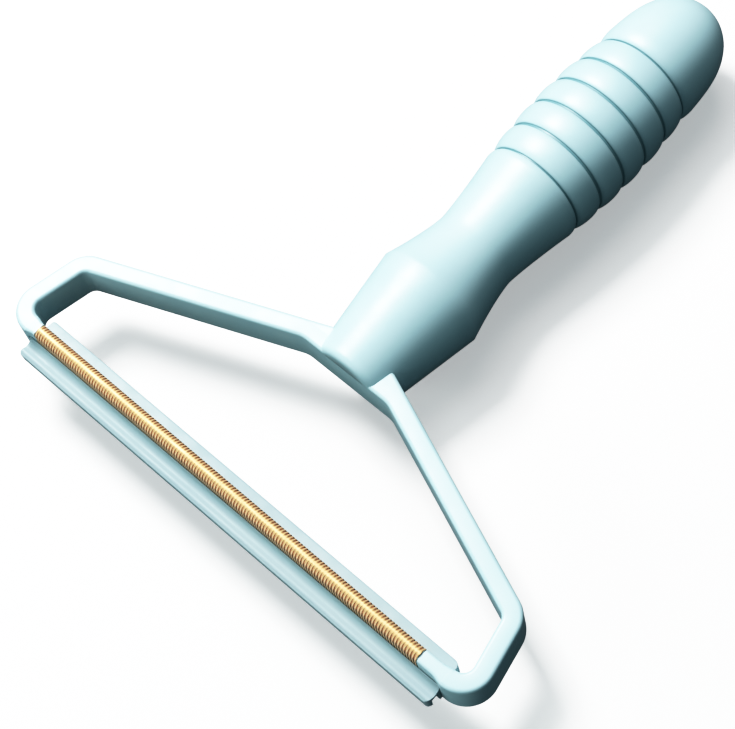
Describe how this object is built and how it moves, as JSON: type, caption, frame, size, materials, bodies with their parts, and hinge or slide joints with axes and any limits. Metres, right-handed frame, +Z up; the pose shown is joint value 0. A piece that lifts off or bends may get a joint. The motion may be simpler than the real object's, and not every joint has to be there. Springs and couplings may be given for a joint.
{
  "type": "sweater comb",
  "caption": "Hand-held sweater comb: flat loop frame on a ringed round grip, with a ribbed copper edge along its front bar and a winged guard strip.",
  "frame": {"origin": "centre of the overall bounding box in plan, at the height of the table that the grip's rings stand on", "axes": "+X along the copper edge, +Y from the copper edge towards the domed end of the grip, +Z up, the way the copper edge points"},
  "size_m": [0.141, 0.166, 0.029],
  "materials": {
    "aqua_plastic": "glossy moulded, pale aqua",
    "copper_edge": "bright rolled copper, polished on the crests"
  },
  "bodies": {
    "handle": {"frame": "aqua_plastic", "grip": "aqua_plastic", "end_cap": "aqua_plastic"},
    "comb": {"copper_comb": "copper_edge"},
    "guard": {"guard_strip": "aqua_plastic"}
  },
  "joints": [
    {"name": "guard_pull", "type": "slide", "parent": "handle", "child": "guard", "axis": [0, 0, -1], "range_m": [0, 0.012]},
    {"name": "comb_lift", "type": "slide", "parent": "handle", "child": "comb", "axis": [0, 0, 1], "range_m": [0, 0.01]}
  ]
}
